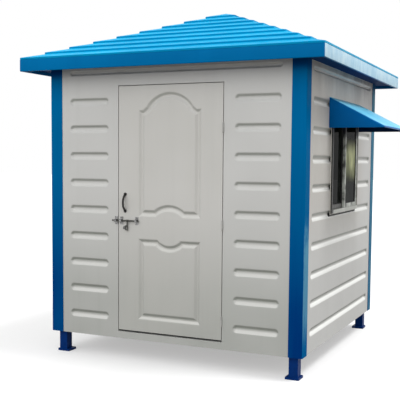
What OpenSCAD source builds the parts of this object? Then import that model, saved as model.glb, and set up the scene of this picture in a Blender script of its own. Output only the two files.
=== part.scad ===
// Portable cabin: a square moulded hut on four short legs, with a stepped hip roof,
// a panelled door in the front wall and a sliding window under an awning in the right wall.
// Millimetres. +Z is up, the ground is z = 0, the door faces -Y and the window faces +X.
// x = 0 is midway between the left eave and the tip of the awning.

/* [Cabin] */
// Width over the corner posts, along X
cabin_w = 2130; // [1900:10:3000]
// Depth over the corner posts, along Y
cabin_d = 2130; // [1900:10:3000]
// Height of the lower edge of the walls above the ground
wall_lift = 170; // [80:5:400]
// Height of the wall over the doorway, up to the soffit
head_h = 143; // [120:1:400]

/* [Walls and posts] */
// Thickness of the wall panels
wall_t = 40; // [25:1:80]
// Width of each leg of a corner post
post_leg = 107; // [80:1:160]
// How far the corner posts stand out from the wall panels
post_proud = 4; // [0:0.5:12]
// Radius of the outer edge of a corner post
post_round = 8; // [2:0.5:20]

/* [Flutes] */
// Number of rows of flutes
flute_rows = 10; // [2:1:10]
// Spacing of the rows
flute_pitch = 210; // [120:2:215]
// Centre of the top row below the top of the wall
flute_drop = 52; // [36:1:90]
// Height of a flute
flute_h = 68; // [20:1:70]
// Depth of a flute
flute_deep = 17; // [4:0.5:20]
// Width of a flute's sloping sides
flute_slope = 28; // [3:0.5:28]
// Plain strip between a flute and a corner post
flute_edge = 70; // [20:1:150]
// Plain strip between a flute and the doorway
flute_door_edge = 82; // [20:1:120]
// How much lower the flutes of the left and right walls lie
flute_side_low = 15; // [0:1:40]

/* [Legs and floor] */
// Width of a leg's square tube
leg_w = 70; // [50:1:100]
// Wall of a leg's tube
leg_wall = 4; // [2:0.5:8]
// Width of the plate under a leg
plate_w = 104; // [90:1:180]
// Thickness of the plate under a leg
plate_t = 18; // [4:1:30]
// How far the plate reaches past the leg on its outer sides
plate_out = 10; // [0:1:20]
// Width of the floor's rails and joists
rail_w = 40; // [25:1:80]
// Height of the floor's rails and joists
rail_h = 35; // [25:1:60]
// Number of joists between the side rails
joists = 3; // [1:1:6]
// Thickness of the floor panel
floor_t = 18; // [9:1:30]

/* [Door] */
// Width of the door leaf
door_w = 874; // [700:2:1000]
// Height of the door leaf
door_h = 1890; // [1750:2:1920]
// Gap between the back of the shut door leaf and its frame
stop_gap = 5; // [5:0.5:8]
// Gap round the door leaf
door_gap = 6; // [5.5:0.5:10]
// Gap under the door leaf
door_under = 16; // [6:1:20]
// Width of the frame that the door shuts against
jamb_w = 56; // [40:1:90]
// Thickness of that frame
jamb_t = 25; // [12:1:40]
// How far that frame reaches behind the door leaf
jamb_lap = 20; // [10:1:30]

/* [Door mouldings] */
// Width of a moulded groove
groove_w = 58; // [24:1:70]
// Depth of a moulded groove
groove_deep = 15; // [4:0.5:16]
// Middle of a groove in from the side of the door
panel_side = 200; // [120:1:230]
// Lower edge of the lower panel above the bottom of the door
lower_base = 121; // [80:1:200]
// Upper edge of the lower panel above the bottom of the door
lower_top = 696; // [500:1:760]
// Dip in the lower panel's upper edge
lower_dip = 42; // [20:1:70]
// Half width of that dip
lower_dip_w = 107; // [80:1:140]
// Lower edge of the upper panel above the bottom of the door
upper_base = 921; // [860:1:1000]
// Rise in the upper panel's lower edge
upper_bump = 44; // [20:1:80]
// Half width of that rise
upper_bump_w = 120; // [90:1:150]
// Top of the upper panel's arch below the top of the door
arch_drop = 78; // [40:1:120]
// Height of the arch above its springing
arch_h = 101; // [60:1:130]
// Run between a shoulder and the foot of the arch
shoulder_run = 39; // [20:1:60]
// Height of the springing above the panel's shoulders
shoulder_h = 31; // [10:1:60]
// Width of a shoulder
shoulder_w = 18; // [5:1:30]

/* [Roof] */
// Overhang of the eaves past the corner posts
eave_over = 175; // [80:5:350]
// Height of the fascia
fascia_h = 92; // [60:1:200]
// Thickness of the fascia
fascia_t = 20; // [10:1:22]
// How far the fascia hangs below the soffit
fascia_drop = 24; // [0:1:50]
// Rise of the roof from the fascia to its peak
roof_rise = 478; // [250:2:900]
// Number of courses from eave to peak
courses = 9; // [3:1:16]
// Height of the step at the foot of each course
course_lip = 15; // [5:0.5:20]
// Thickness of the roof at its thinnest, measured upright
roof_t = 9; // [8.5:0.5:20]
// Thickness of the soffit
soffit_t = 8; // [4:1:15]
// Thickness of the ceiling panel
ceiling_t = 12; // [8:1:25]

/* [Window] */
// Width over the window frame
window_w = 812; // [500:2:960]
// Height over the window frame
window_h = 848; // [500:2:900]
// Upper edge of the window frame below the soffit
window_drop = 268; // [120:1:400]
// How far the window frame laps over the wall round its opening
window_lap = 17; // [8:1:25]
// Visible width of the window frame
frame_w = 28; // [26:1:60]
// How far the window frame stands out from the wall
frame_proud = 14; // [12:1:30]
// Width of a sash bar
sash_w = 34; // [24:1:60]
// Thickness of a sash
sash_t = 19; // [12:1:22]
// Clearance between the two sashes
sash_gap = 3; // [1:0.5:8]
// Thickness of the glass
glass_t = 5; // [3:0.5:8]

/* [Awning] */
// How far the awning reaches past the window frame on each side
awning_side = 70; // [40:1:140]
// Reach of the awning from the wall
awning_reach = 420; // [200:2:700]
// Top of the awning above the window frame
awning_up = 44; // [20:1:90]
// Height of the awning, from its top to its lower edge
awning_h = 233; // [150:1:400]
// Height of the lip at the awning's front edge
awning_lip = 14; // [8:1:40]
// Thickness of the awning's sheet and cheeks
awning_t = 5; // [3:0.5:10]

/* [Hinges] */
// Middle of the lowest hinge above the bottom of the door
hinge_low = 140; // [80:1:300]
// Middle of the highest hinge below the top of the door
hinge_high = 325; // [80:1:400]
// Height of a hinge
hinge_h = 75; // [50:1:120]
// Radius of a hinge knuckle
knuckle_r = 6; // [4.5:0.5:9]
// Radius of a hinge pin
pin_r = 2.6; // [2:0.1:3.5]
// Running clearance of a hinge pin
pin_play = 0.1; // [0.05:0.01:0.3]
// Thickness of a hinge leaf
leaf_t = 2.4; // [1.5:0.1:2.6]
// Depth of a hinge leaf into the gap
leaf_deep = 30; // [20:1:35]

/* [Latch and handle] */
// Height of the latch bolt above the bottom of the door
latch_z = 858; // [800:1:1000]
// Radius of the latch bolt
bolt_r = 6; // [4:0.5:8]
// How far the bolt reaches past the middle of its staple when it is shot
bolt_past = 30; // [20:1:60]
// How far the bolt reaches past the middle of its far guide
bolt_tail = 21; // [12:1:60]
// Middle of the bolt out from the face of the door
bolt_out = 15; // [13:0.5:20]
// Radial clearance of the bolt in its guides
bolt_play = 0.4; // [0.2:0.1:1]
// Length of the bolt's lever below the bolt
lever_len = 74; // [60:1:110]
// Length of the handle between its feet
handle_len = 130; // [100:1:200]
// How far the handle bows out from the door
handle_bow = 46; // [38:1:70]
// Radius of the handle's bar
handle_r = 8; // [4:0.5:9]
// Middle of the handle in from the edge of the door
handle_in = 58; // [40:1:100]
// Middle of the handle above the latch bolt
handle_up = 139; // [120:1:250]

/* [Hidden] */
$fn = 64;

blue = [0.0, 0.38, 0.63];
navy = [0.03, 0.18, 0.38];
white = [0.78, 0.78, 0.76];
steel = [0.62, 0.63, 0.64];
aluminium = [0.55, 0.56, 0.55];
black = [0.06, 0.06, 0.06];
board = [0.45, 0.36, 0.26];
glass = [0.15, 0.19, 0.18, 0.6];

half_w = cabin_w / 2;
half_d = cabin_d / 2;
post_t = wall_t + post_proud;
floor_z = wall_lift + rail_h + floor_t;
eps = 1;

// The eaves reach half_w + eave_over on each side, and the awning further on the right.
eave_x = half_w + eave_over;
eave_y = half_d + eave_over;
awning_tip = half_w - post_proud + awning_reach;
cabin_x = -max(0, awning_tip - eave_x) / 2;

// Doorway and door leaf, with the outer face of the leaf flush with the wall.
face_y = -half_d + post_proud;
door_t = wall_t - stop_gap;
door_x = door_w / 2;
way_x = door_x + door_gap;
door_base = floor_z + door_under;
door_top = door_base + door_h;
way_top = door_top + door_gap;
wall_top = way_top + head_h;
wall_h = wall_top - wall_lift;

// Rows of flutes
function flute_z(row, low) = wall_top - flute_drop - low - row * flute_pitch;
function flute_end(half) = half - post_leg - flute_edge;

// Window frame, its opening in the wall, and the clear opening inside it.
win_y = window_w / 2;
win_top = wall_top - window_drop;
win_base = win_top - window_h;
hole_y = win_y - window_lap;
hole_base = win_base + window_lap;
hole_top = win_top - window_lap;
clear_y = win_y - frame_w;
clear_base = win_base + frame_w;
clear_top = win_top - frame_w;

// Hinge axis, midway in the gap and just clear of the wall's face.
pin_x = door_x + door_gap / 2;
pin_y = face_y - knuckle_r - 0.5;

// Latch and handle
bolt_z = door_base + latch_z;
bolt_y = face_y - bolt_out;
guide_w = 18;
guide_clear = 7;
lever_w = 18;
lever_gap = 39;
eye_gap = 12;
staple_edge = 5;
guide_edge = 8;
hasp_lap = 5;
staple_x = -way_x - guide_w / 2 - staple_edge;
bolt_x0 = staple_x - bolt_past;
bolt_travel = bolt_past + guide_w / 2 + guide_clear;
near_guide_x = -door_x + guide_w + guide_edge;
lever_x = near_guide_x + guide_w / 2 + lever_w / 2 + lever_gap;
far_guide_x = lever_x + bolt_travel + guide_w / 2 + lever_w / 2 + 2 * guide_clear;
bolt_len = far_guide_x + bolt_tail - bolt_x0;
hasp_w = 24;
hasp_h = 38;
hasp_x = hasp_lap - hasp_w / 2;
eye_x = lever_x + hasp_x - hasp_w / 2 - eye_gap;
handle_x = -door_x + handle_in;
handle_z = bolt_z + handle_up;

module place() translate([cabin_x, 0, 0]) children();

// Puts a piece drawn for the front on one of the four sides. y = 0 is the outer face of the posts.
module on_side(turn) {
    out = turn % 180 == 0 ? half_d : half_w;
    rotate([0, 0, turn])
        translate([0, -out, 0])
            children();
}

module at_corners() {
    for (sx = [-1, 1], sy = [-1, 1])
        scale_sign(sx, sy)
            translate([half_w, half_d, 0])
                children();
}

// Mirrors a piece into the corner given by two signs.
module scale_sign(sx, sy) {
    mirror([sx < 0 ? 1 : 0, 0, 0])
        mirror([0, sy < 0 ? 1 : 0, 0])
            children();
}

module box(x0, x1, y0, y1, z0, z1) {
    translate([x0, y0, z0])
        cube([x1 - x0, y1 - y0, z1 - z0]);
}

module bar_x(x0, x1, r) {
    translate([x0, 0, 0])
        rotate([0, 90, 0])
            cylinder(h = x1 - x0, r = r);
}

// Legs and floor

module corner_legs() color(blue) place() at_corners()
    translate([-post_t - leg_w, -post_t - leg_w, plate_t])
        difference() {
            cube([leg_w, leg_w, wall_top - plate_t]);
            translate([leg_wall, leg_wall, -eps])
                cube([leg_w - 2 * leg_wall, leg_w - 2 * leg_wall, wall_top + eps]);
        }

module base_plates() color(blue) place() at_corners()
    translate([-post_t + plate_out - plate_w, -post_t + plate_out - plate_w, 0])
        cube([plate_w, plate_w, plate_t]);

module base_rail(half) {
    box(-half, half, post_t, post_t + rail_w, wall_lift, wall_lift + rail_h);
}

module base_rails() color(navy) place() {
    for (turn = [0, 180])
        on_side(turn) base_rail(half_w - post_t - leg_w);
    for (turn = [90, 270])
        on_side(turn) base_rail(half_d - post_t - leg_w);
}

module floor_joists() color(navy) place() {
    end = half_w - post_t - rail_w;
    span = 2 * (half_d - post_t - rail_w);
    for (i = [1:joists])
        translate([0, span * (i / (joists + 1) - 0.5), 0])
            box(-end, end, -rail_w / 2, rail_w / 2, wall_lift, wall_lift + rail_h);
}

module floor_panel() color(board) place()
    difference() {
        box(-half_w + post_t, half_w - post_t, -half_d + post_t, half_d - post_t,
            wall_lift + rail_h, floor_z);
        at_corners()
            translate([-post_t - leg_w, -post_t - leg_w, 0])
                cube([leg_w + eps, leg_w + eps, wall_top]);
    }

// Corner posts and walls

module post_section() {
    difference() {
        square(post_leg);
        translate([post_t, post_t])
            square(post_leg);
        difference() {
            translate([-eps, -eps])
                square(post_round + eps);
            translate([post_round, post_round])
                circle(post_round);
        }
    }
}

module corner_posts() color(blue) place() at_corners()
    rotate([0, 0, 180])
        translate([0, 0, wall_lift])
            linear_extrude(wall_h)
                post_section();

// A flute from x0 to x1: sloping sides down to a flat bottom, and rounded ends
module flute(x0, x1, row, low = 0) {
    half = flute_h / 2;
    floor_half = half - flute_slope;
    mouth_half = half + eps * flute_slope / flute_deep;
    translate([0, post_proud, flute_z(row, low)]) {
        translate([x0 + half, 0, 0])
            rotate([90, 0, 90])
                linear_extrude(x1 - x0 - flute_h)
                    polygon([
                        [-eps, -mouth_half], [flute_deep, -floor_half],
                        [flute_deep, floor_half], [-eps, mouth_half]
                    ]);
        for (x = [x0 + half, x1 - half])
            translate([x, -eps, 0])
                rotate([-90, 0, 0])
                    cylinder(h = flute_deep + eps, r1 = mouth_half, r2 = floor_half);
    }
}

module wall_panel(x0, x1, z0, z1) {
    difference() {
        box(x0, x1, post_proud, post_t, z0, z1);
        children();
    }
}

module front_flutes() {
    end = flute_end(half_w);
    inner = way_x + flute_door_edge;
    flute(-end, end, 0);
    for (row = [1:flute_rows - 1]) {
        flute(-end, -inner, row);
        flute(inner, end, row);
    }
}

// Rows right across a wall: at the window they run under its frame.
module plain_flutes(half, low) {
    end = flute_end(half);
    for (row = [0:flute_rows - 1])
        flute(-end, end, row, low);
}

module side_flutes() {
    plain_flutes(half_d, flute_side_low);
}

module front_wall_left() color(white) place() on_side(0)
    wall_panel(-half_w + post_leg, -way_x, wall_lift, wall_top) front_flutes();

module front_wall_right() color(white) place() on_side(0)
    wall_panel(way_x, half_w - post_leg, wall_lift, wall_top) front_flutes();

module front_wall_head() color(white) place() on_side(0)
    wall_panel(-way_x, way_x, way_top, wall_top) front_flutes();

module front_wall_sill() color(white) place() on_side(0)
    wall_panel(-way_x, way_x, wall_lift, floor_z);

module right_wall_front() color(white) place() on_side(90)
    wall_panel(-half_d + post_leg, -hole_y, wall_lift, wall_top) side_flutes();

module right_wall_back() color(white) place() on_side(90)
    wall_panel(hole_y, half_d - post_leg, wall_lift, wall_top) side_flutes();

module right_wall_head() color(white) place() on_side(90)
    wall_panel(-hole_y, hole_y, hole_top, wall_top) side_flutes();

module right_wall_sill() color(white) place() on_side(90)
    wall_panel(-hole_y, hole_y, wall_lift, hole_base) side_flutes();

module left_wall() color(white) place() on_side(270)
    wall_panel(-half_d + post_leg, half_d - post_leg, wall_lift, wall_top) side_flutes();

module back_wall() color(white) place() on_side(180)
    wall_panel(-half_w + post_leg, half_w - post_leg, wall_lift, wall_top) plain_flutes(half_w, 0);

// Ceiling, eaves and roof

module ceiling_panel() color(white) place()
    box(-half_w, half_w, -half_d, half_d, wall_top, wall_top + ceiling_t);

// A strip of soffit from the ceiling's edge to the fascia, mitred at the corners
module soffit_strip(half, run) {
    out = eave_over - fascia_t;
    translate([0, 0, wall_top])
        linear_extrude(soffit_t)
            polygon([[-half - out, -run - out], [half + out, -run - out], [half, -run], [-half, -run]]);
}

module soffit_front_back() color(navy) place() {
    for (turn = [0, 180])
        rotate([0, 0, turn]) soffit_strip(half_w, half_d);
}

module soffit_left_right() color(navy) place() {
    for (turn = [90, 270])
        rotate([0, 0, turn]) soffit_strip(half_d, half_w);
}

// A fascia board along an eave of half length half that lies run from the middle
module fascia(half, run) {
    translate([0, 0, wall_top - fascia_drop])
        linear_extrude(fascia_h)
            polygon([
                [-half, -run], [half, -run],
                [half - fascia_t, -run + fascia_t], [-half + fascia_t, -run + fascia_t]
            ]);
}

module fascia_front() color(blue) place() fascia(eave_x, eave_y);
module fascia_right() color(blue) place() rotate([0, 0, 90]) fascia(eave_y, eave_x);
module fascia_back() color(blue) place() rotate([0, 0, 180]) fascia(eave_x, eave_y);
module fascia_left() color(blue) place() rotate([0, 0, 270]) fascia(eave_y, eave_x);

// Upright section of a roof slope: each course starts with a small step, and the underside is plain.
function roof_section(run, step) = concat(
    [for (k = [0:courses - 1], lip = [0, course_lip]) [-run * (1 - k / courses), k * step + lip]],
    [[0, roof_rise], [0, roof_rise - roof_t], [-run * (1 - roof_t / roof_rise), 0]]
);

// One slope, cut along the hips
module roof_slope(half, run) {
    reach = 1.1;
    translate([0, 0, wall_top - fascia_drop + fascia_h])
        intersection() {
            translate([-half, 0, 0])
                rotate([90, 0, 90])
                    linear_extrude(2 * half)
                        polygon(roof_section(run, roof_rise / courses));
            translate([0, 0, -eps])
                linear_extrude(roof_rise + 2 * eps)
                    polygon([[-half * reach, -run * reach], [half * reach, -run * reach], [0, 0]]);
        }
}

module roof_front() color(blue) place() roof_slope(eave_x, eave_y);
module roof_right() color(blue) place() rotate([0, 0, 90]) roof_slope(eave_y, eave_x);
module roof_back() color(blue) place() rotate([0, 0, 180]) roof_slope(eave_x, eave_y);
module roof_left() color(blue) place() rotate([0, 0, 270]) roof_slope(eave_y, eave_x);

// Awning over the window

awning_top = win_top + awning_up;
awning_base = awning_top - awning_h;
awning_fall = awning_h - awning_lip;
awning_w = window_w + 2 * awning_side;

// Section of the awning's sheet, out from the wall and up
function sheet_section() =
    let (
        slope = awning_fall / awning_reach,
        upright_t = awning_t * sqrt(1 + slope * slope)
    )
    [
        [0, awning_top], [awning_reach, awning_base + awning_lip], [awning_reach, awning_base],
        [awning_reach - awning_t, awning_base],
        [awning_reach - awning_t, awning_base + awning_lip - upright_t + awning_t * slope],
        [0, awning_top - upright_t]
    ];

// Draws an upright section of the awning across its width, on the face of the right wall.
module awning_span(half_y0, half_y1) {
    translate([half_w - post_proud, half_y1, 0])
        rotate([90, 0, 0])
            linear_extrude(half_y1 - half_y0)
                children();
}

module awning_sheet() color(blue) place()
    awning_span(-awning_w / 2, awning_w / 2)
        polygon(sheet_section());

module awning_cheeks() color(blue) place() {
    s = sheet_section();
    for (y = [-awning_w / 2, awning_w / 2 - awning_t])
        awning_span(y, y + awning_t)
            polygon([s[5], s[4], s[3], [0, awning_base]]);
}

// Window: a fixed frame with two sashes in two tracks

win_in = post_t + 4;

// Section of the frame, in from its outer edge: a lap on the wall, and a lining through it
module lap_section() {
    translate([0, post_proud - frame_proud])
        square([frame_w, frame_proud]);
}

module lining_section() {
    translate([window_lap, post_proud])
        square([frame_w - window_lap, win_in - post_proud]);
}

module window_jambs() color(aluminium) place() on_side(90)
    for (side = [0, 1])
        mirror([side, 0, 0])
            translate([-win_y, 0, 0]) {
                translate([0, 0, win_base])
                    linear_extrude(window_h)
                        lap_section();
                translate([0, 0, hole_base])
                    linear_extrude(hole_top - hole_base)
                        lining_section();
            }

module window_head_sill() color(aluminium) place() on_side(90)
    translate([0, 0, (win_base + win_top) / 2])
        for (side = [0, 1])
            mirror([0, 0, side])
                translate([-clear_y, 0, -window_h / 2])
                    rotate([90, 0, 90])
                        linear_extrude(2 * clear_y)
                            mirror([1, -1]) {
                                lap_section();
                                lining_section();
                            }

// The rear sash runs in the outer track and the front sash in the inner one.
track_out = post_proud - frame_proud + 3;
track_in = track_out + sash_t + sash_gap;

module sash_stiles(x0, x1, track) {
    for (x = [x0, x1 - sash_w])
        box(x, x + sash_w, track, track + sash_t, clear_base, clear_top);
}

module sash_rails(x0, x1, track) {
    for (z = [clear_base, clear_top - sash_w])
        box(x0 + sash_w, x1 - sash_w, track, track + sash_t, z, z + sash_w);
}

module sash_pane(x0, x1, track) {
    mid = track + sash_t / 2;
    box(x0 + sash_w, x1 - sash_w, mid - glass_t / 2, mid + glass_t / 2,
        clear_base + sash_w, clear_top - sash_w);
}

module window_sash_stiles() color(aluminium) place() on_side(90) {
    sash_stiles(-clear_y, sash_w / 2, track_in);
    sash_stiles(-sash_w / 2, clear_y, track_out);
}

module window_sash_rails() color(aluminium) place() on_side(90) {
    sash_rails(-clear_y, sash_w / 2, track_in);
    sash_rails(-sash_w / 2, clear_y, track_out);
}

module window_glass() color(glass) place() on_side(90) {
    sash_pane(-clear_y, sash_w / 2, track_in);
    sash_pane(-sash_w / 2, clear_y, track_out);
}

// Door frame

jamb_in = door_x - jamb_lap;

module door_jambs() color(white) place() on_side(0)
    for (side = [0, 1])
        mirror([side, 0, 0])
            box(jamb_in, jamb_in + jamb_w, post_t, post_t + jamb_t,
                floor_z, door_top - jamb_lap + jamb_w);

module door_head() color(white) place() on_side(0)
    box(-jamb_in, jamb_in, post_t, post_t + jamb_t,
        door_top - jamb_lap, door_top - jamb_lap + jamb_w);

// Door leaf

function arc(mid, half, rise, n) =
    let (r = (half * half + rise * rise) / (2 * rise), a = 2 * atan(rise / half))
    [for (i = [0:n]) let (t = a * (1 - 2 * i / n)) [mid.x + r * sin(t), mid.y + rise - r + r * cos(t)]];

function flip_x(path) = [for (p = path) [-p.x, p.y]];
function flip_y(path, y) = [for (p = path) [p.x, 2 * y - p.y]];

// Outline of the lower panel, anticlockwise, with a dip in its upper edge
function lower_outline() =
    let (s = door_x - panel_side, base = door_base + lower_base, top = door_base + lower_top)
    concat(
        [[-s, base], [s, base], [s, top]],
        flip_y(arc([0, top], lower_dip_w, lower_dip, 20), top),
        [[-s, top]]
    );

// Outline of the upper panel, anticlockwise, with a rise in its lower edge and an arched top
function upper_outline() =
    let (
        s = door_x - panel_side,
        base = door_base + upper_base,
        spring = door_top - arch_drop - arch_h,
        shoulder = spring - shoulder_h,
        arch_w = s - shoulder_w - shoulder_run
    )
    concat(
        [[-s, base]],
        flip_x(arc([0, base], upper_bump_w, upper_bump, 20)),
        [[s, base], [s, shoulder], [s - shoulder_w, shoulder]],
        arc([0, spring], arch_w, arch_h, 28),
        [[shoulder_w - s, shoulder], [-s, shoulder]]
    );

function unit(v) = v / norm(v);
function left_of(a, b) = let (d = unit(b - a)) [-d.y, d.x];

// A closed outline moved inwards by d, with its corners mitred
function inset(path, d) =
    let (n = len(path))
    [for (i = [0:n - 1])
        let (
            a = left_of(path[(i + n - 1) % n], path[i]),
            b = left_of(path[i], path[(i + 1) % n])
        )
        path[i] + d * (a + b) / (1 + a * b)];

// Section of a groove, across and out of the door's face: it falls and rises in one smooth wave.
function groove_section() =
    let (h = groove_w / 2, n = 10)
    concat(
        [[-h, eps]],
        [for (i = [0:n]) [h * (2 * i / n - 1), -groove_deep * pow(sin(180 * i / n), 2)]],
        [[h, eps]]
    );

// A groove along a closed outline: rings of the section, joined round the outline
module groove(path) {
    sec = groove_section();
    n = len(path);
    m = len(sec);
    rings = [for (s = sec) inset(path, s.x)];
    points = [for (j = [0:m - 1], i = [0:n - 1]) [rings[j][i].x, -sec[j].y, rings[j][i].y]];
    faces = [for (j = [0:m - 1], i = [0:n - 1])
        let (j1 = (j + 1) % m, i1 = (i + 1) % n)
        [j * n + i, j * n + i1, j1 * n + i1, j1 * n + i]];
    polyhedron(points, faces);
}

module door_leaf() color(white) place()
    difference() {
        box(-door_x, door_x, face_y, face_y + door_t, door_base, door_top);
        translate([0, face_y, 0]) {
            groove(lower_outline());
            groove(upper_outline());
        }
        translate([0, face_y + door_t, 0])
            mirror([0, 1, 0]) {
                groove(lower_outline());
                groove(upper_outline());
            }
    }

// Hinges: each has two outer knuckles with the pin on the frame, and one between them on the door.

knuckle_h = hinge_h / 3;
knuckle_gap = 0.3;

module at_hinges() {
    low = door_base + hinge_low;
    high = door_top - hinge_high;
    for (z = [low, (low + high) / 2, high])
        translate([pin_x, pin_y, z - hinge_h / 2])
            children();
}

// The leaf lies on one side of the gap, side = 1 for the frame and -1 for the door.
module hinge_leaf(side) {
    x = side * (door_gap / 2 - leaf_t / 2);
    translate([x - leaf_t / 2, 0, 0])
        cube([leaf_t, face_y - pin_y + leaf_deep, hinge_h]);
}

module hinge_knuckle(z0, z1) {
    translate([0, 0, z0])
        cylinder(h = z1 - z0, r = knuckle_r);
}

module hinge_room(z0, z1) {
    translate([0, 0, z0])
        cylinder(h = z1 - z0, r = knuckle_r + 0.4);
}

module hinge_frame_leaves() color(steel) place() at_hinges() {
    difference() {
        union() {
            hinge_leaf(1);
            hinge_knuckle(0, knuckle_h - knuckle_gap);
            hinge_knuckle(2 * knuckle_h + knuckle_gap, hinge_h);
        }
        hinge_room(knuckle_h - knuckle_gap, 2 * knuckle_h + knuckle_gap);
    }
    cylinder(h = hinge_h, r = pin_r);
}

module hinge_door_leaves() color(steel) place() at_hinges()
    difference() {
        union() {
            hinge_leaf(-1);
            hinge_knuckle(knuckle_h, 2 * knuckle_h);
        }
        hinge_room(-eps, knuckle_h);
        hinge_room(2 * knuckle_h, hinge_h + eps);
        translate([0, 0, -eps])
            cylinder(h = hinge_h + 2 * eps, r = pin_r + pin_play);
    }

// Handle: a bowed round bar on two round feet

module door_handle() color(black) place()
    translate([handle_x, face_y, handle_z]) {
        half = handle_len / 2;
        bow = handle_bow - handle_r;
        r = (half * half + bow * bow) / (2 * bow);
        a = 2 * atan(bow / half);
        foot_t = 4;
        intersection() {
            translate([0, -bow + r, 0])
                rotate([0, 90, 0])
                    rotate([0, 0, 270 - a - 8])
                        rotate_extrude(angle = 2 * a + 16)
                            translate([r, 0])
                                circle(handle_r);
            box(-half, half, -handle_bow - eps, 0, -handle_len, handle_len);
        }
        for (z = [-half, half])
            translate([0, 0, z])
                rotate([90, 0, 0])
                    cylinder(h = foot_t, r = 1.6 * handle_r);
    }

// Latch: a round bolt in two guides on the door, shot through a staple on the wall

module latch_tunnel(bore) {
    rise = bolt_r + bolt_play + 4.5;
    plate_h = 62;
    plate_th = 3;
    difference() {
        union() {
            box(-guide_w / 2 - 4, guide_w / 2 + 4, bolt_out - plate_th, bolt_out, -plate_h / 2, plate_h / 2);
            box(-guide_w / 2, guide_w / 2, 0, bolt_out, -rise, rise);
            bar_x(-guide_w / 2, guide_w / 2, rise);
        }
        bar_x(-guide_w, guide_w, bore);
    }
}

module latch_staple() color(steel) place()
    translate([staple_x, bolt_y, bolt_z])
        latch_tunnel(bolt_r + 3 * bolt_play);

// A lug with a hole, beside the hanging end of the lever, on a small plate on the door
module latch_eye() {
    lug_t = 5;
    lug_r = 10;
    lug_y = 3;
    hole_r = 5;
    plate_x = 8;
    plate_z = 15;
    sheet_t = 3;
    difference() {
        union() {
            box(-plate_x, plate_x, bolt_out - sheet_t, bolt_out, -plate_z, plate_z);
            box(-lug_t / 2, lug_t / 2, lug_y, bolt_out, -lug_r, lug_r);
            translate([0, lug_y, 0])
                bar_x(-lug_t / 2, lug_t / 2, lug_r);
        }
        translate([0, lug_y, 0])
            bar_x(-lug_t, lug_t, hole_r);
    }
}

module latch_guides() color(steel) place()
    translate([0, bolt_y, bolt_z]) {
        for (x = [near_guide_x, far_guide_x])
            translate([x, 0, 0])
                latch_tunnel(bolt_r + bolt_play);
        translate([eye_x, 0, hasp_h / 2 - lever_len])
            latch_eye();
    }

// The lever hangs from a collar on the bolt and ends in a slotted plate.
module latch_bolt() color(steel) place()
    translate([0, bolt_y, bolt_z]) {
        bar_x(bolt_x0, bolt_x0 + bolt_len, bolt_r);
        translate([lever_x, 0, 0]) {
            bar_x(-lever_w / 2, lever_w / 2, bolt_r + 2.5);
            box(-5, 5, -2, 2, hasp_h - lever_len - eps, 0);
            translate([hasp_x, 0, hasp_h / 2 - lever_len])
                difference() {
                    box(-hasp_w / 2, hasp_w / 2, -2, 2, -hasp_h / 2, hasp_h / 2);
                    box(-hasp_w / 6, hasp_w / 6, -3, 3, -hasp_h / 4, hasp_h / 4);
                }
        }
    }

corner_legs();
base_plates();
base_rails();
floor_joists();
floor_panel();
corner_posts();
front_wall_left();
front_wall_right();
front_wall_head();
front_wall_sill();
right_wall_front();
right_wall_back();
right_wall_head();
right_wall_sill();
left_wall();
back_wall();
ceiling_panel();
soffit_front_back();
soffit_left_right();
fascia_front();
fascia_right();
fascia_back();
fascia_left();
roof_front();
roof_right();
roof_back();
roof_left();
awning_sheet();
awning_cheeks();
window_jambs();
window_head_sill();
window_sash_stiles();
window_sash_rails();
window_glass();
door_jambs();
door_head();
hinge_frame_leaves();
latch_staple();
door_leaf();
hinge_door_leaves();
door_handle();
latch_guides();
latch_bolt();
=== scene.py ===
import math

import bmesh
import bpy
import numpy as np
from mathutils import Matrix, Vector


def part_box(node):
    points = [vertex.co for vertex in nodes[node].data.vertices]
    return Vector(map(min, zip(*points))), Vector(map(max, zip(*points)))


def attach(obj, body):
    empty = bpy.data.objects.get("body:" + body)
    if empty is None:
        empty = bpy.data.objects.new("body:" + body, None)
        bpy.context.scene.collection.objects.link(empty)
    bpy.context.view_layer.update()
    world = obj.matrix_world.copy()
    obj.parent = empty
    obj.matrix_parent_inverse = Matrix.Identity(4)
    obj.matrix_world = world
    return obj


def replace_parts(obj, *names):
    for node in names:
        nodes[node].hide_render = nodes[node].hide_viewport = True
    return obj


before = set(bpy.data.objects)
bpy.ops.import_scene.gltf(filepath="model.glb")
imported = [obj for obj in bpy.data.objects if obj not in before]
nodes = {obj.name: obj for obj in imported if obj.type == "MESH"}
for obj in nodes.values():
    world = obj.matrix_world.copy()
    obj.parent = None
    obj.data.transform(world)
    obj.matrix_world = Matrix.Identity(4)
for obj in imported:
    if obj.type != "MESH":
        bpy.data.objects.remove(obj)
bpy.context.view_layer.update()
print("frame loaded:", len(nodes), "nodes")


def boxOf(*names):
    # the lowest and highest corner of some nodes taken together
    low, high = zip(*(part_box(name) for name in names))
    return np.min(np.array(low), 0), np.max(np.array(high), 0)


# the cabin's middle, the face of its right wall, and the heights of the walls' tops, the window and the
# awning's foot
middle = sum(boxOf("left_wall", "right_wall_front")) / 2
wallPlane = boxOf("right_wall_front")[1][0]
wallTop = boxOf("left_wall")[1][2]
windowLow, windowHigh = (corner[2] for corner in boxOf("window_jambs"))
awningFoot = boxOf("awning_cheeks")[0][2]

# finishes

screenCurve = {"straightBelow": 0.04045, "straight": 12.92, "offset": 0.055, "power": 2.4}


def srgb(r, g, b):
    # the linear colour of a screen colour given as 0 to 255
    c = np.array((r, g, b), float) / 255
    curved = ((c + screenCurve["offset"]) / (1 + screenCurve["offset"])) ** screenCurve["power"]
    lin = np.where(c <= screenCurve["straightBelow"], c / screenCurve["straight"], curved)
    return (*lin.tolist(), 1.0)


def stepsFrom(base, *steps):
    # places at the given steps from a place of the frame
    return tuple(base + step for step in steps)


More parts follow.
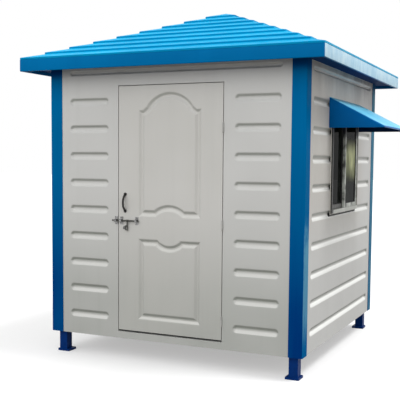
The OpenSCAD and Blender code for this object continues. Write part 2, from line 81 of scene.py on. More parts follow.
# the finishes' noises: scale, detail, roughness, stretch along x, y and z, and the two levels that each is
# eased between
patterns = {
    "streak": (9.0, 4.0, 0.6, (1, 1, 0.05), 0.45, 0.8),
    "run": (7.0, 6.0, 0.7, (1, 1, 0.7), 0.25, 0.75),
    "scrapeGlint": (9.0, 6.0, 0.7, (1, 1, 0.4), 0.36, 0.56),
    "drip": (6.0, 5.0, 0.65, (1, 1, 0.25), 0.3, 0.75),
    "mottle": (6.0, 6.0, 0.65, (1, 1, 6), 0.36, 0.68),
    "brushMark": (38.0, 5.0, 0.6, (1, 1, 1), 0.42, 0.75),
    "floorScuff": (7.0, 6.0, 0.65, (1, 1, 1), 0.4, 0.75),
    "floorFleck": (240.0, 2.0, 0.55, (1, 1, 1), 0.5, 0.7),
    "dustFilm": (5.0, 5.0, 0.6, (1, 1, 0.4), 0.4, 0.8),
    "reflectionPatch": (7.0, 3.0, 0.5, (1, 1, 0.5), 0.36, 0.62),
}


class Wire:
    # a shader socket with arithmetic: each operator adds one Math node
    def __init__(self, tree, socket=None):
        self.tree, self.socket = tree, socket

    def make(self, kind, settings=None, inputs=None, output=0):
        # any node: its type, its settings, then the values or links of its sockets
        node = self.tree.nodes.new(kind)
        for key, value in (settings or {}).items():
            setattr(node, key, value)
        for key, value in (inputs or {}).items():
            if isinstance(value, Wire):
                self.tree.links.new(value.socket, node.inputs[key])
            else:
                node.inputs[key].default_value = value
        return Wire(self.tree, node.outputs[output])

    def math(self, operation, a, b):
        return self.make("ShaderNodeMath", {"operation": operation}, {0: a, 1: b})

    def __add__(self, other):
        return self.math("ADD", self, other)

    def __radd__(self, other):
        return self.math("ADD", other, self)

    def __sub__(self, other):
        return self.math("SUBTRACT", self, other)

    def __rsub__(self, other):
        return self.math("SUBTRACT", other, self)

    def __mul__(self, other):
        return self.math("MULTIPLY", self, other)

    def __rmul__(self, other):
        return self.math("MULTIPLY", other, self)

    def ease(self, low, high):
        # 0 at low, 1 at high, eased between
        return self.make("ShaderNodeMapRange", {"interpolation_type": "SMOOTHSTEP"},
                         {0: self, 1: low, 2: high, 3: 0.0, 4: 1.0})

    def tint(self, a, b):
        # colour a where this value is 0, colour b where it is 1
        return self.make("ShaderNodeMix", {"data_type": "RGBA"}, {0: self, 6: a, 7: b}, 2)

    def noise(self, scale, detail=3.0, rough=0.55, stretch=(1, 1, 1)):
        placed = self.make("ShaderNodeMapping", None, {"Vector": self, "Scale": stretch})
        return self.make("ShaderNodeTexNoise", None,
                         {"Vector": placed, "Scale": scale, "Detail": detail, "Roughness": rough})

    def pattern(self, name):
        *noise, low, high = patterns[name]
        return self.noise(*noise).ease(low, high)

    def mark(self, name):
        # a value that the mesh carries at each point, 0 where it has none
        return self.make("ShaderNodeAttribute", {"attribute_name": name}, None, "Fac")

    def axis(self, which):
        return self.make("ShaderNodeSeparateXYZ", None, {0: self}, which)


def makeFinish(name, paint):
    # a material: paint() takes the object's coordinates and gives what goes into the shader's sockets
    made = bpy.data.materials.new(name)
    made.use_nodes = True
    tree = made.node_tree
    shader = tree.nodes["Principled BSDF"]
    where = Wire(tree).make("ShaderNodeTexCoord", None, None, "Object")
    for key, value in paint(where).items():
        if isinstance(value, Wire):
            tree.links.new(value.socket, shader.inputs[key])
        else:
            shader.inputs[key].default_value = value
    return made


def bump(where, height, strength, distance):
    return where.make("ShaderNodeBump", None,
                      {"Strength": strength, "Distance": distance, "Height": height})


# how the moulded skins weather and where light and shade are painted on them, whatever their colour:
# a pair is the two ends of an ease
skinWeatherLight = {
    "fadeDetail": 2.0, "fadeLevels": (0.3, 0.72), "rightFacing": (0.5, 0.9), "rightHalf": (0.0, 0.4),
    "underFacing": (0.12, 0.6), "insideFacing": (0.1, 0.3), "sidePaintLeast": 0.84, "frontHalf": (-0.5, 0.0),
    "dripAbove": (1.9, 2.2), "dripAlong": (-0.6, 0.6), "dripLeast": 0.4, "dripMore": 0.35,
    "ledgeShadeLeast": 0.3, "ledgeShadeRight": 0.5, "topAbove": (2.18, 2.25), "soilAndShadeLeast": 0.75, "soilAndShadeFaded": 0.4,
    "openRight": 0.6, "shelterDull": 0.92, "paleAndLitClean": 0.85, "streakRough": 0.10, "lowRough": 0.16,
    "grain": 420.0, "grainDetail": 2.0, "grainRough": 0.06, "grainTall": 0.02, "waveDeep": 0.004,
}


def sideLightSide(where, look, skin, toRight):
    # painted light on the right side, in pale runs down it: lighter, as sunlit, on the blue parts, and a
    # warm painted shade on the front part of the right wall
    run = where.pattern("run")
    sidePaint = toRight * (skinWeatherLight["sidePaintLeast"] + (1 - skinWeatherLight["sidePaintLeast"]) * run)
    for along, key in ((1, "sideLightFrom"), (2, "sideLightAbove")):
        if key in look:
            sidePaint = sidePaint * where.axis(along).ease(*look[key])
    return sidePaint.tint(skin, run.tint(look["sideLight"], look["sideLightPaler"]))


def scrapeGlintedSide(where, look, skin, toRight):
    # painted highlight: the front post's right side is painted pale half way up, where it catches the light
    height = where.axis(2)
    band = height.ease(*look["scrapeGlintedAbove"]) * (1 - height.ease(*look["scrapeGlintedBelow"]))
    scrapeGlint = where.pattern("scrapeGlint") * toRight * (1 - where.axis(1).ease(*skinWeatherLight["frontHalf"])) * band
    return scrapeGlint.tint(skin, look["scrapeGlinted"])


def eaveDripShade(where, look, skin, toRight):
    # dark runs below the right eave, more towards the back, partly painted shade of the eave, and painted
    # shade on the ledges of the top flutes
    drip = where.pattern("drip") * where.axis(2).ease(*skinWeatherLight["dripAbove"]) * toRight
    back = skinWeatherLight["dripLeast"] + skinWeatherLight["dripMore"] * where.axis(1).ease(*skinWeatherLight["dripAlong"])
    ledgeShade = where.mark("ledgeShade") * (skinWeatherLight["ledgeShadeLeast"] + skinWeatherLight["ledgeShadeRight"] * toRight)
    return ledgeShade.tint((drip * back).tint(skin, look["dripAndShade"]), look["ledgeShade"])


def gelcoat(look):
    # moulded gloss skin: broad fading, weathered paler and painted lighter where it looks up, painted shade
    # where it looks down, streaks down it, dust and painted shade towards the ground and a soft ripple
    def paint(where):
        wear = skinWeatherLight
        broad = where.noise(look["broad"], wear["fadeDetail"]).ease(*wear["fadeLevels"])
        streak = where.pattern("streak")
        grain = where.noise(wear["grain"], wear["grainDetail"])
        height = where.axis(2)
        facing = where.make("ShaderNodeNewGeometry", None, None, "True Normal")
        toRight = facing.axis(0).ease(*wear["rightFacing"]) * where.axis(0).ease(*wear["rightHalf"])
        skin = broad.tint(look["colour"], look["faded"])
        for key, change in (("sideLight", sideLightSide), ("scrapeGlinted", scrapeGlintedSide), ("dripAndShade", eaveDripShade)):
            if key in look:
                skin = change(where, look, skin, toRight)
        soilAndShade = streak * look["streak"]
        rough = look["rough"] + wear["streakRough"] * streak + wear["grainRough"] * grain
        # dust and painted shade, darker and rougher towards the ground
        if "lowDustShade" in look:
            low = 1 - height.ease(*look["lowDustShadeBelow"])
            soilAndShade = soilAndShade + low * look["lowDustShade"]
            rough = rough + wear["lowRough"] * low
        # the darkening is less on faces that look right
        if "lessDarkRight" in look:
            soilAndShade = soilAndShade * (1 - look["lessDarkRight"] * toRight)
        # painted shadow of the eaves on the tops of the posts
        if "topShade" in look:
            soilAndShade = soilAndShade + height.ease(*wear["topAbove"]) * look["topShade"]
        if "inside" in look:
            # painted shade on the cheeks' inner faces, which look towards the cabin's middle line
            inward = (0 - facing.axis(1) * where.axis(1)).ease(*wear["insideFacing"])
            soilAndShade = soilAndShade + inward * look["inside"]
        # painted shade where a face looks down
        if "under" in look:
            soilAndShade = soilAndShade + (0 - facing.axis(2)).ease(*wear["underFacing"]) * look["under"]
        soilAndShade = soilAndShade * (wear["soilAndShadeLeast"] + wear["soilAndShadeFaded"] * broad)
        # weathered paler and painted lighter where a face looks up
        if "bleachAndLight" in look:
            paleAndLit = facing.axis(2).ease(*look["bleachAndLightFrom"])
            if "mottle" in look:
                # each course's paler tops vary unevenly along its length
                paleAndLit = paleAndLit * (1 - look["mottle"] * where.pattern("mottle"))
            if "sheltered" in look:
                # painted shade in the tops of the flutes; their ledges are painted lighter, less so towards
                # the eaves, whose shade is painted over them
                ledge = where.mark("ledge")
                shelter = height.ease(*look["sheltered"]) * (1 - wear["openRight"] * toRight)
                paleAndLit = paleAndLit.math("MAXIMUM", paleAndLit, ledge) * (1 - wear["shelterDull"] * shelter)
                soilAndShade = (soilAndShade + where.mark("fluteShade") * look["fluteShade"]) * (1 - wear["paleAndLitClean"] * paleAndLit)
            skin = paleAndLit.tint(skin, broad.tint(look["bleachAndLight"], look["paler"]))
            # painted sunlight on the right wall's ledges where the eaves leave them open
            if "sunlitLedge" in look:
                skin = (ledge * toRight * (1 - shelter)).tint(skin, look["sunlitLedge"])
        ripple = where.noise(look["ripple"], wear["fadeDetail"])
        return {
            "Base Color": soilAndShade.math("MINIMUM", soilAndShade, 1.0).tint(skin, look["soilAndShadeColour"]),
            "Roughness": rough,
            "Normal": bump(where, ripple + wear["grainTall"] * grain, look["wave"], wear["waveDeep"]),
            "Specular IOR Level": look["gloss"],
        }
    return paint


paintWear = {"dustBelow": (0.0, 0.16), "markShare": 0.35, "dustShare": 0.25, "markRough": 0.2,
             "brush": 60.0, "brushStrength": 0.25, "brushDeep": 0.002}


def paintedSteel(look):
    # brush-painted metal or rubber: a thick coat with faint marks and dust low down
    def paint(where):
        wear = paintWear
        mark = where.pattern("brushMark")
        low = 1 - where.axis(2).ease(*wear["dustBelow"])
        worn = wear["markShare"] * mark + wear["dustShare"] * low
        return {
            "Base Color": worn.tint(look["colour"], look["worn"]),
            "Roughness": look["rough"] + wear["markRough"] * mark,
            "Specular IOR Level": look["gloss"],
            "Normal": bump(where, where.noise(wear["brush"]), wear["brushStrength"], wear["brushDeep"]),
        }
    return paint


metalWear = {"lineDetail": 3.0, "lineRoughness": 0.6, "cloudDetail": 4.0, "cloudLevels": (0.35, 0.7),
             "cloudRough": 0.18, "lineRough": 0.08, "cloudDull": 0.25,
             "lineStrength": 0.12, "lineDeep": 0.0008}


def bareMetal(look):
    # drawn or plated metal: lines along one axis and cloudy dulling
    def paint(where):
        wear = metalWear
        line = where.noise(look["lines"], wear["lineDetail"], wear["lineRoughness"], look["along"])
        cloud = where.noise(look["cloud"], wear["cloudDetail"]).ease(*wear["cloudLevels"])
        skin = cloud.tint(look["colour"], look["dull"])
        if "sidePainted" in look:
            # what lies further out is painted paler, as lit by the sun
            outer = where.axis(0).ease(*look["sidePaintedFrom"])
            skin = outer.tint(skin, cloud.tint(look["sidePainted"], look["dull"]))
        if "paleAndLit" in look:
            # painted light at the foot, pale as in the sun, and painted shade on the front jamb
            foot = 1 - where.axis(2).ease(*look["paleAndLitBelow"])
            jamb = 1 - where.axis(1).ease(*look["jambShadeBefore"])
            jambShade = cloud.tint(look["jambShade"], look["jambShadePaler"])
            skin = jamb.tint(foot.tint(skin, look["paleAndLit"]), jambShade)
        if "shaded" in look:
            # painted shade at the top, below the awning
            skin = where.axis(2).ease(*look["shadedAbove"]).tint(skin, look["shaded"])
        return {
            "Base Color": skin,
            "Roughness": look["rough"] + wear["cloudRough"] * cloud + wear["lineRough"] * line,
            "Metallic": look["metal"] - wear["cloudDull"] * cloud,
            "Normal": bump(where, line, wear["lineStrength"], wear["lineDeep"]),
        }
    return paint


floorWear = {"scrapeGlintShare": 0.55, "fleckShare": 0.2, "rough": 0.5, "scrapeGlintRough": 0.25,
             "fleckStrength": 0.15, "fleckDeep": 0.0006}


def boardFloor(look):
    # sheet flooring over board, scraped in patches
    def paint(where):
        wear = floorWear
        scrapeGlint, fleck = where.pattern("floorScuff"), where.pattern("floorFleck")
        worn = wear["scrapeGlintShare"] * scrapeGlint + wear["fleckShare"] * fleck
        return {
            "Base Color": worn.tint(look["colour"], look["scrapeGlinted"]),
            "Roughness": wear["rough"] + wear["scrapeGlintRough"] * scrapeGlint,
            "Normal": bump(where, fleck, wear["fleckStrength"], wear["fleckDeep"]),
        }
    return paint


glassFilmReflection = {"castLeast": 0.4, "rough": 0.03, "filmRough": 0.10, "filmAlpha": 0.05}


def tintedGlass(look):
    # smoked glass with a film of dust; the outer pane carries a painted green reflection, strongest half
    # way up
    def paint(where):
        wear = glassFilmReflection
        film = where.pattern("dustFilm")
        height = where.axis(2)
        # painted reflection on the outer pane, in a band half way up
        band = height.ease(*look["castAbove"]) * (1 - height.ease(*look["castBelow"]))
        cast = where.axis(0).ease(*look["castFrom"]) * band
        cast = cast * (wear["castLeast"] + (1 - wear["castLeast"]) * where.pattern("reflectionPatch"))
        return {
            "Base Color": cast.tint(film.tint(look["colour"], look["film"]), look["cast"]),
            "Roughness": wear["rough"] + wear["filmRough"] * film,
            "Specular IOR Level": look["gloss"],
            "Alpha": look["clear"] + wear["filmAlpha"] * film,
        }
    return paint


paints = {
    "roofBlue": gelcoat({
        "colour": srgb(0, 128, 178), "faded": srgb(0, 136, 186), "soilAndShadeColour": srgb(0, 84, 138),
        "bleachAndLight": srgb(0, 157, 205), "paler": srgb(6, 170, 216), "bleachAndLightFrom": (0.25, 0.85),
        # painted sunlight on the roof's right-facing faces
        "sideLight": srgb(40, 164, 210), "sideLightPaler": srgb(80, 184, 222), "lessDarkRight": 0.92, "mottle": 0.32,
        "broad": 1.6, "streak": 0.10, "ripple": 5.0, "wave": 0.35, "rough": 0.34, "gloss": 0.02}),
    "fasciaBlue": gelcoat({
        "colour": srgb(0, 104, 162), "faded": srgb(0, 110, 170), "soilAndShadeColour": srgb(0, 60, 120),
        # painted sunlight on the right fascia
        "sideLight": srgb(186, 228, 249), "sideLightPaler": srgb(218, 243, 254), "lessDarkRight": 0.92,
        "broad": 1.6, "streak": 0.10, "ripple": 6.0, "wave": 0.3, "rough": 0.32, "gloss": 0.015}),
    "postBlue": gelcoat({
        "colour": srgb(0, 98, 152), "faded": srgb(0, 103, 160), "soilAndShadeColour": srgb(0, 50, 114),
        # painted light on the back post's right face
        "sideLight": srgb(56, 114, 140), "sideLightPaler": srgb(84, 140, 164), "sideLightFrom": (0.7, 0.9),
        # painted highlight half way up the right face of the front post
        "scrapeGlinted": srgb(96, 158, 188), "scrapeGlintedAbove": (0.2, 0.5), "scrapeGlintedBelow": (1.0, 1.2),
        "lowDustShade": 0.85, "lowDustShadeBelow": (0.15, 1.9), "lessDarkRight": 0.75, "topShade": 0.8,
        "broad": 1.2, "streak": 0.12, "ripple": 7.0, "wave": 0.3, "rough": 0.36, "gloss": 0.003}),
    "awningBlue": gelcoat({
        "colour": srgb(0, 104, 178), "faded": srgb(0, 110, 186), "soilAndShadeColour": srgb(0, 26, 66),
        "bleachAndLight": srgb(102, 194, 232), "paler": srgb(128, 208, 240), "bleachAndLightFrom": (0.25, 0.85),
        # painted shade on the awning's underside and on the cheeks' inner faces
        "under": 1.2, "inside": 1.2,
        "broad": 2.4, "streak": 0.05, "ripple": 9.0, "wave": 0.3, "rough": 0.34, "gloss": 0.05}),
    # painted shade: the soffit is the roof's blue, painted dark as the shade under the eaves
    "soffitNavy": gelcoat({
        "colour": srgb(4, 44, 88), "faded": srgb(6, 54, 100), "soilAndShadeColour": srgb(2, 30, 66),
        "broad": 1.4, "streak": 0.1, "ripple": 7.0, "wave": 0.3, "rough": 0.6, "gloss": 0.02}),
    "wallWhite": gelcoat({
        "colour": srgb(195, 195, 193), "faded": srgb(200, 200, 198), "soilAndShadeColour": srgb(150, 153, 147),
        # painted warm shade on the front part of the right wall, beside the window
        "sideLight": srgb(184, 180, 173), "sideLightPaler": srgb(191, 188, 182),
        "sideLightFrom": (0.8, 0.35), "sideLightAbove": (0.7, 1.5),
        # dark runs below the right eave, partly painted shade, and painted shade on the top flutes' ledges
        "dripAndShade": srgb(118, 112, 114), "ledgeShade": srgb(62, 63, 70),
        "bleachAndLight": srgb(208, 208, 205), "paler": srgb(214, 214, 211), "bleachAndLightFrom": (0.12, 0.6),
        # painted shade in the flutes and under the eaves, and painted sunlight on the open ledges of the
        # right wall
        "sheltered": (0.3, 2.0), "fluteShade": 0.75, "sunlitLedge": srgb(248, 249, 246),
        "lowDustShade": 0.62, "lowDustShadeBelow": (0.16, 1.5), "lessDarkRight": 0.95,
        "broad": 1.3, "streak": 0.10, "ripple": 6.0, "wave": 0.30, "rough": 0.40, "gloss": 0.2}),
    "doorWhite": gelcoat({
        "colour": srgb(195, 194, 190), "faded": srgb(200, 199, 196), "soilAndShadeColour": srgb(150, 153, 147),
        # weathered paler and painted lighter where the door's mouldings look up
        "bleachAndLight": srgb(206, 206, 202), "paler": srgb(212, 212, 208), "bleachAndLightFrom": (0.12, 0.6),
        # painted shade where the door's mouldings look down
        "sheltered": (0.3, 2.0), "fluteShade": 0.0, "under": 0.6, "lowDustShade": 0.60, "lowDustShadeBelow": (0.2, 1.4),
        "broad": 1.5, "streak": 0.08, "ripple": 5.0, "wave": 0.25, "rough": 0.40, "gloss": 0.2}),
    "legBlue": paintedSteel({
        "colour": srgb(0, 46, 110), "worn": srgb(0, 30, 80), "rough": 0.4, "gloss": 0.06}),
    "railDark": paintedSteel({
        "colour": srgb(38, 48, 62), "worn": srgb(70, 58, 50), "rough": 0.5, "gloss": 0.3}),
    "hingePaint": paintedSteel({
        "colour": srgb(176, 176, 173), "worn": srgb(120, 116, 110), "rough": 0.45, "gloss": 0.3}),
    "handleBlack": paintedSteel({
        "colour": srgb(13, 12, 12), "worn": srgb(46, 38, 34), "rough": 0.3, "gloss": 0.4}),
    "gasketBlack": paintedSteel({
        "colour": srgb(16, 16, 17), "worn": srgb(40, 40, 39), "rough": 0.6, "gloss": 0.2}),
    "sealantPale": paintedSteel({
        "colour": srgb(206, 204, 196), "worn": srgb(150, 147, 138), "rough": 0.5, "gloss": 0.3}),
    "frameAluminium": bareMetal({
        "colour": srgb(128, 127, 120), "dull": srgb(104, 102, 95), "metal": 0.35, "rough": 0.45,
        # painted sunlight on the sill, and painted shade on the front jamb and below the awning
        "paleAndLit": srgb(184, 186, 180), "paleAndLitBelow": stepsFrom(windowLow, 0.024, 0.034),
        "jambShade": srgb(20, 20, 19), "jambShadePaler": srgb(56, 55, 51), "jambShadeBefore": (-0.37, -0.34),
        "shaded": srgb(10, 14, 26), "shadedAbove": stepsFrom(awningFoot, -0.09, -0.02),
        "lines": 90.0, "along": (1, 1, 0.04), "cloud": 14.0}),
    "sashAluminium": bareMetal({
        "colour": srgb(90, 90, 87), "dull": srgb(70, 70, 68), "metal": 0.35, "rough": 0.45,
        # painted light on the outer sash
        "sidePainted": srgb(196, 200, 192), "sidePaintedFrom": stepsFrom(wallPlane, -0.0105, -0.0085),
        "shaded": srgb(10, 14, 26), "shadedAbove": stepsFrom(awningFoot, -0.09, -0.02),
        "lines": 90.0, "along": (1, 1, 0.04), "cloud": 14.0}),
    "zincSteel": bareMetal({
        "colour": srgb(150, 150, 150), "dull": srgb(92, 92, 92), "metal": 0.9, "rough": 0.34,
        "lines": 300.0, "along": (0.05, 1, 1), "cloud": 70.0}),
    "boltSteel": bareMetal({
        "colour": srgb(82, 83, 79), "dull": srgb(42, 41, 38), "metal": 0.9, "rough": 0.38,
        "lines": 300.0, "along": (0.05, 1, 1), "cloud": 60.0}),
    "screwZinc": bareMetal({
        "colour": srgb(160, 160, 158), "dull": srgb(104, 100, 94), "metal": 0.9, "rough": 0.36,
        "lines": 900.0, "along": (1, 1, 1), "cloud": 300.0}),
    "floorSheet": boardFloor({"colour": srgb(120, 104, 86), "scrapeGlinted": srgb(152, 138, 118)}),
    "smokedGlass": tintedGlass({
        "colour": srgb(14, 18, 16), "film": srgb(32, 38, 33), "clear": 0.95, "gloss": 0.004,
        # painted green reflection on the outer pane
        "cast": srgb(228, 234, 182), "castFrom": stepsFrom(wallPlane, -0.0145, -0.0045),
        "castAbove": (1.38, 1.55), "castBelow": (1.62, 1.77)}),
}
finishes = {name: makeFinish(name, paint) for name, paint in paints.items()}

# which nodes wear each finish
wears = {
    "roofBlue": ["roof_front", "roof_right", "roof_back", "roof_left"],
    "awningBlue": ["awning_sheet", "awning_cheeks"],
    "postBlue": ["corner_posts"],
    "fasciaBlue": ["fascia_front", "fascia_right", "fascia_back", "fascia_left"],
    "soffitNavy": ["soffit_front_back", "soffit_left_right"],
    "wallWhite": ["front_wall_left", "front_wall_right", "front_wall_head", "front_wall_sill",
                  "right_wall_front", "right_wall_back", "right_wall_head", "right_wall_sill",
                  "left_wall", "back_wall", "ceiling_panel", "door_jambs", "door_head"],
    "doorWhite": ["door_leaf"],
    "legBlue": ["corner_legs", "base_plates"],
    "railDark": ["base_rails", "floor_joists"],
    "floorSheet": ["floor_panel"],
    "frameAluminium": ["window_jambs", "window_head_sill"],
    "sashAluminium": ["window_sash_stiles", "window_sash_rails"],
    "smokedGlass": ["window_glass"],
    "hingePaint": ["hinge_frame_leaves", "hinge_door_leaves"],
    "zincSteel": ["latch_staple", "latch_guides"],
    "boltSteel": ["latch_bolt"],
    "handleBlack": ["door_handle"],
}
for name, members in wears.items():
    for node in members:
        mesh = nodes[node].data
        mesh.materials.clear()
        mesh.materials.append(finishes[name])
print("finishes:", len(finishes), "on", sum(map(len, wears.values())), "nodes")

# meshes

smoothBelow = {"plain": 35.0, "panel": 50.0, "screw": 25.0}  # crease angles, in degrees
cornerLimits = {"least": 0.0004, "most": 0.7}  # of a corner's radius; the last is a share of the side


def gridQuads(rows, cols, wrapRows=False, wrapCols=False):
    # faces of a grid of points stored row by row, joined round where it wraps
    r = np.arange(rows if wrapRows else rows - 1)[:, None]
    c = np.arange(cols if wrapCols else cols - 1)[None, :]
    below, beside = (r + 1) % rows, (c + 1) % cols
    corners = [r * cols + c, r * cols + beside, below * cols + beside, below * cols + c]
    return np.stack(corners, -1).reshape(-1, 4)


def addPiece(name, points, blocks, look, body, crease="plain", marks=None):
    # a mesh from whole arrays of points and faces, its faces turned outwards, smooth below the crease angle
    mesh = bpy.data.meshes.new(name)
    faces = sum((block.tolist() for block in blocks), [])
    mesh.from_pydata(np.asarray(points, float).reshape(-1, 3).tolist(), [], faces)
    for mark, values in (marks or {}).items():
        carried = mesh.attributes.new(mark, "FLOAT", "POINT")
        carried.data.foreach_set("value", np.ravel(values).astype(np.float32))
    work = bmesh.new()
    work.from_mesh(mesh)
    bmesh.ops.recalc_face_normals(work, faces=work.faces)
    work.to_mesh(mesh)
    work.free()
    mesh.shade_smooth()
    mesh.set_sharp_from_angle(angle=math.radians(smoothBelow[crease]))
    mesh.materials.append(finishes[look])
    made = bpy.data.objects.new(name, mesh)
    bpy.context.scene.collection.objects.link(made)
    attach(made, body)
    return made


def bend(start, corner, end, cuts):
    # a quadratic curve from start to end that leaves and arrives along the two sides of the corner
    t = np.linspace(0, 1, cuts + 1)[:, None]
    return (1 - t) ** 2 * np.array(start) + 2 * t * (1 - t) * np.array(corner) + t ** 2 * np.array(end)


def frameRings(section, half, roundness, sideCuts, cornerCuts):
    # a section of (inset, height) points carried round a rectangle: at each inset the ring is the rectangle
    # made smaller by it, with its corners rounded by an arc
    inset, height = np.array(section).T
    half = np.array(half)[None, :] - inset[:, None]
    radius = np.clip(roundness - inset * (inset < roundness), cornerLimits["least"], None)
    radius = np.minimum(radius, cornerLimits["most"] * half.min(1))
    angle = np.linspace(0, math.pi / 2, cornerCuts + 1)
    turn = angle[None, :] + np.arange(4)[:, None] * math.pi / 2
    sign = np.array([(1, 1), (-1, 1), (-1, -1), (1, -1)])
    centres = sign[None, :, None, :] * (half - radius[:, None])[:, None, None, :]
    arcs = centres + radius[:, None, None, None] * np.stack([np.cos(turn), np.sin(turn)], -1)[None]
    along = np.linspace(0, 1, sideCuts + 1)[1:-1][None, None, :, None]
    sides = arcs[:, :, -1:, :] * (1 - along) + np.roll(arcs, -1, 1)[:, :, :1, :] * along
    ring = np.concatenate([arcs, sides], 2).reshape(len(inset), -1, 2)
    return np.concatenate([ring, np.broadcast_to(height[:, None, None], ring.shape[:2] + (1,))], 2)


def overPlan(rings, low, high):
    # rings moved so that they stand over the middle of a box, on its foot
    return rings + (low + high) / 2 * (1, 1, 0) + (0, 0, low[2])


def addRing(name, points, look):
    # a closed section carried all the way round
    return addPiece(name, points, [gridQuads(*points.shape[:2], True, True)], look, "cabin")


def addStrip(name, section, ends, along, look, body):
    # a closed section carried straight between two places along x (0) or y (1), with flat ends
    count = len(section)
    points = np.tile(np.insert(section, along, 0.0, axis=1), (2, 1))
    points[:, along] = np.repeat(ends, count)
    caps = np.arange(2 * count).reshape(2, count)
    return addPiece(name, points, [gridQuads(2, count, wrapCols=True), caps], look, body)


# roof: nine courses, each a short upright lip with a rounded nose, then a sloping tread with a fillet at
# its top; the section is carried round the square plan, so that the courses meet at the hips
roofShape = {"courses": 9, "lip": 0.015, "nose": 0.004, "noseCuts": 4, "fillet": 0.003, "filletCuts": 3,
             "hipRound": 0.016, "hipCuts": 5, "sideCuts": 10, "sheet": 0.009, "top": 0.004}
shape = roofShape
low, high = boxOf(*wears["roofBlue"])
run, rise = (high - low)[0] / 2, (high - low)[2]
tread = np.array([run, rise]) / shape["courses"]
climb = tread - (0, shape["lip"])
climb = climb / np.linalg.norm(climb)
edge = np.array([0, shape["lip"]])
nose = bend(edge - (0, shape["nose"]), edge, edge + shape["nose"] * climb, shape["noseCuts"])
fillet = bend(tread - shape["fillet"] * climb, tread, tread + (0, shape["fillet"]), shape["filletCuts"])
course = np.concatenate([nose, fillet])
stack = (course[None] + np.arange(shape["courses"])[:, None, None] * tread).reshape(-1, 2)[:-len(fillet)]
peak = np.array([run - shape["top"], rise])
underside = np.array([(peak[0], rise - shape["sheet"]), (run * shape["sheet"] / rise, 0.0), (0.0, 0.0)])
section = np.concatenate([underside, stack, [peak]])
rings = frameRings(section, (run, run), shape["hipRound"], shape["sideCuts"], shape["hipCuts"])
rings = overPlan(rings, low, high)
rows, cols = rings.shape[:2]
caps = np.array([np.arange(cols), (rows - 1) * cols + np.arange(cols)])
roofSkin = addPiece("roofSkin", rings, [gridQuads(rows, cols, wrapCols=True), caps], "roofBlue", "cabin")
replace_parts(roofSkin, *wears["roofBlue"])
print("roof:", rows, "rings of", cols)


# fascia: one moulded band round the eaves, a rectangle with rounded edges carried round the plan
bandShape = {"edge": 0.005, "edgeCuts": 3, "thick": 0.020,
             "cornerRound": 0.012, "cornerCuts": 4, "sideCuts": 6}
shape = bandShape
low, high = boxOf(*wears["fasciaBlue"])
edge, thick, tall = shape["edge"], shape["thick"], (high - low)[2]
section = np.concatenate([
    bend((edge, 0), (0, 0), (0, edge), shape["edgeCuts"]),
    bend((0, tall - edge), (0, tall), (edge, tall), shape["edgeCuts"]),
    bend((thick - edge, tall), (thick, tall), (thick, tall - edge), shape["edgeCuts"]),
    bend((thick, edge), (thick, 0), (thick - edge, 0), shape["edgeCuts"])])
rings = frameRings(section, (high - low)[:2] / 2,
                   shape["cornerRound"], shape["sideCuts"], shape["cornerCuts"])
eaveBand = addRing("eaveBand", overPlan(rings, low, high), "fasciaBlue")
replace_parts(eaveBand, *wears["fasciaBlue"])
print("fascia:", len(rings), "rings")


# walls: each panel's outer face is a grid over (along, up) pushed in by the flutes: the push is the flute's
# depth, eased over its sloping side by the distance from the flute's middle line
fluteShape = {"rows": 10, "pitch": 0.210, "drop": 0.052, "sideLow": 0.015, "tall": 0.068, "topTall": 0.042,
              "deep": 0.017, "slope": 0.029, "slopeMost": 0.9, "end": 0.888, "doorEnd": 0.525}
# where the grid's lines lie: a coarse step, those over a slope and past it, and those over a flute's tip
panelGrid = {"coarse": 0.16, "apart": 0.001, "digits": 4, "slopeLines": 12, "slopePast": 0.05,
             "tipLines": 13, "tipBefore": 0.002, "tipPast": 0.004}
# how much painted shade the flat of a flute takes, and where its ledge, painted lighter, starts and how
# softly
fluteShading = {"flat": 0.2, "ledgeFrom": 0.35, "ledgeSoft": 0.016}
# each side's outward direction, and which way its panels run
sides = {"front": ((0, -1), (1, 0)), "right": ((1, 0), (0, 1)),
         "back": ((0, 1), (-1, 0)), "left": ((-1, 0), (0, -1))}


def fluteRuns(side):
    # the flutes of one side as rows of (first end, last end, middle's height, half its own height); the
    # eaves narrow the top one, and the door parts the others on the front
    shape = fluteShape
    lower = shape["sideLow"] if side in ("left", "right") else 0.0
    heights = wallTop - shape["drop"] - lower - np.arange(shape["rows"]) * shape["pitch"]
    halves = np.full(shape["rows"], shape["tall"] / 2)
    halves[0] = shape["topTall"] / 2
    heights[0] += (shape["tall"] - shape["topTall"]) / 2
    ends = np.full(shape["rows"], shape["end"])
    whole = np.stack([-ends, ends, heights, halves], 1)
    if side != "front":
        return whole
    near, far = whole[1:].copy(), whole[1:].copy()
    near[:, 1], far[:, 0] = -shape["doorEnd"], shape["doorEnd"]
    return np.concatenate([whole[:1], near, far])


def linesBetween(low, high, extra):
    # grid lines from low to high: the ends, a few coarse ones and those of extra that lie between
    grid = panelGrid
    coarse = np.linspace(low, high, max(2, round((high - low) / grid["coarse"]) + 1))
    inside = extra[(extra > low + grid["apart"]) & (extra < high - grid["apart"])]
    return np.unique(np.round(np.concatenate([coarse, inside]), grid["digits"]))


